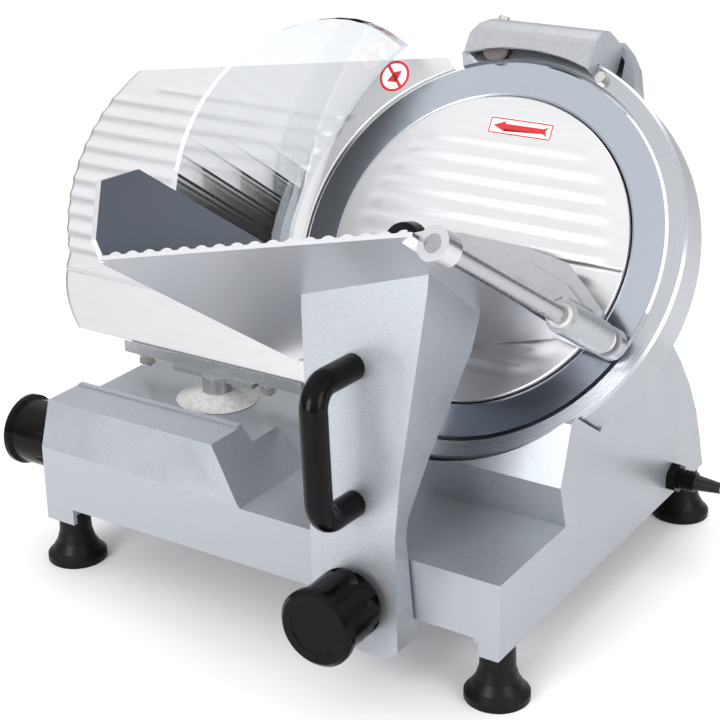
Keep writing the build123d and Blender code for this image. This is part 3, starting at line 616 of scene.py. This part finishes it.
add_piece("gauge_plate_skin", gauge_plate_mesh(), "gauge", "plate_metal", "gauge_plate")
add_piece("cover_skin", cover_mesh(), "root", "plate_metal", "blade_cover")

# ---------------------------------------------------------------- printed marks
LABEL_HEIGHT = 0.0002
PRINT_HEIGHT = 0.00032
PRINT_THICKNESS = 0.0001


def flat_mark(name, outlines, height):
    """Closed flat shapes in the blade frame, given as lists of (u, v) points."""
    bm = bmesh.new()
    for outline in outlines:
        low = [bm.verts.new(blade_matrix @ Vector((u, v, height))) for u, v in outline]
        high = [bm.verts.new(blade_matrix @ Vector((u, v, height + PRINT_THICKNESS))) for u, v in outline]
        bm.faces.new(low[::-1])
        bm.faces.new(high)
        for i in range(len(outline)):
            j = (i + 1) % len(outline)
            bm.faces.new((low[i], low[j], high[j], high[i]))
    bmesh.ops.triangulate(bm, faces=bm.faces)
    bmesh.ops.recalc_face_normals(bm, faces=bm.faces)
    mesh = bpy.data.meshes.new(name)
    bm.to_mesh(mesh)
    bm.free()
    return mesh


def ring_parts(centre, outer, inner, parts=32):
    """A flat ring as short four-cornered pieces."""
    shapes = []
    for i in range(parts):
        a = 2 * pi * i / parts
        b = 2 * pi * (i + 1) / parts
        corners = [(outer, a), (outer, b), (inner, b), (inner, a)]
        shapes.append([(centre[0] + r * cos(t), centre[1] + r * sin(t)) for r, t in corners])
    return shapes


def disc_outline(centre, radius, parts=40):
    angles = [2 * pi * i / parts for i in range(parts)]
    return [(centre[0] + radius * cos(a), centre[1] + radius * sin(a)) for a in angles]


def rectangle(left, right, low, high):
    return [(left, low), (right, low), (right, high), (left, high)]


def make_arrow_label():
    """Turning direction of the blade: a plain red arrow in a red frame on white."""
    x, y = 0.008, 0.0975
    half_long = 0.0275
    half_tall = 0.007
    line = 0.001
    ground = rectangle(x - half_long, x + half_long, y - half_tall, y + half_tall)
    bars = []
    for side in (-1, 1):
        edge = y + side * (half_tall - line)
        bars.append(rectangle(x - half_long + line, x + half_long - line, edge - line / 2, edge + line / 2))
        edge = x + side * (half_long - line)
        bars.append(rectangle(edge - line / 2, edge + line / 2, y - half_tall + line, y + half_tall - line))
    tip = x - half_long + 0.004
    neck = tip + 0.010
    tail = x + half_long
    shaft = 0.0021
    barb = 0.0042
    feather = 0.004
    arrow = [(tip, y), (neck, y - barb), (neck, y - shaft), (tail - 0.008, y - shaft),
             (tail - 0.004, y - feather), (tail - 0.006, y), (tail - 0.004, y + feather),
             (tail - 0.008, y + shaft), (neck, y + shaft), (neck, y + barb)]
    add_piece("arrow_label_ground", flat_mark("arrow_label_ground", [ground], LABEL_HEIGHT), "root",
              "label_white")
    add_piece("arrow_label_print", flat_mark("arrow_label_print", bars + [arrow], PRINT_HEIGHT), "root",
              "label_red")


def make_round_label():
    """A plain warning mark: a red ring with a bar and a wedge, on white."""
    x, y = -0.116, 0.126
    ring_outer = 0.0135
    ring_inner = 0.0112
    ground_radius = 0.0138
    shapes = ring_parts((x, y), ring_outer, ring_inner)
    across = ring_inner * 0.7071
    thin = 0.0009
    shapes.append([(x - across - thin, y + across - thin), (x + across - thin, y - across - thin),
                   (x + across + thin, y - across + thin), (x - across + thin, y + across + thin)])
    shapes.append([(x - 0.0055, y - 0.005), (x + 0.003, y - 0.005), (x + 0.0055, y + 0.0055),
                   (x - 0.001, y + 0.0035)])
    ground = disc_outline((x, y), ground_radius)
    add_piece("round_label_ground", flat_mark("round_label_ground", [ground], LABEL_HEIGHT), "gauge",
              "label_white")
    add_piece("round_label_print", flat_mark("round_label_print", shapes, PRINT_HEIGHT), "gauge",
              "label_red")


make_arrow_label()
make_round_label()


# ---------------------------------------------------------------- stage
def make_stage():
    bpy.ops.mesh.primitive_plane_add(size=12, location=(0, 0, cad_low[2]))
    floor = bpy.context.object
    floor.name = "floor"
    s = Shader("floor", (0.9, 0.9, 0.905), roughness=0.65)
    s.tint(s.noise(4, 2), 0.99, 1.01)
    floor.data.materials.append(s.material)


def make_world():
    """A studio tent: bright above, dark near the horizon so that metal has something to reflect."""
    world = bpy.data.worlds.new("studio")
    bpy.context.scene.world = world
    world.use_nodes = True
    tree = world.node_tree
    coords = tree.nodes.new("ShaderNodeTexCoord")
    split = tree.nodes.new("ShaderNodeSeparateXYZ")
    tree.links.new(coords.outputs["Generated"], split.inputs["Vector"])
    ramp = tree.nodes.new("ShaderNodeValToRGB")
    stops = ramp.color_ramp.elements
    stops[0].position = 0.05
    stops[0].color = (0.16, 0.17, 0.19, 1)
    stops[1].position = 0.6
    stops[1].color = (1.0, 1.0, 1.0, 1)
    tree.links.new(split.outputs["Z"], ramp.inputs["Fac"])
    background = tree.nodes["Background"]
    tree.links.new(ramp.outputs["Color"], background.inputs["Color"])
    background.inputs["Strength"].default_value = 1.2


def area_light(name, place, target, size, power):
    data = bpy.data.lights.new(name, "AREA")
    data.size = size
    data.energy = power
    light = bpy.data.objects.new(name, data)
    light.location = place
    light.rotation_euler = (Vector(target) - Vector(place)).to_track_quat("-Z", "Y").to_euler()
    bpy.context.collection.objects.link(light)


make_stage()
make_world()
bpy.context.scene.view_settings.view_transform = "Standard"
area_light("key_light", (-0.2, -2.2, 0.8), (0, 0, 0.2), 1.0, 34)
area_light("fill_light", (1.9, -0.5, 0.7), (0.1, 0, 0.2), 1.0, 14)
area_light("top_light", (0.1, 0.9, 2.2), (0, 0, 0.2), 1.4, 12)
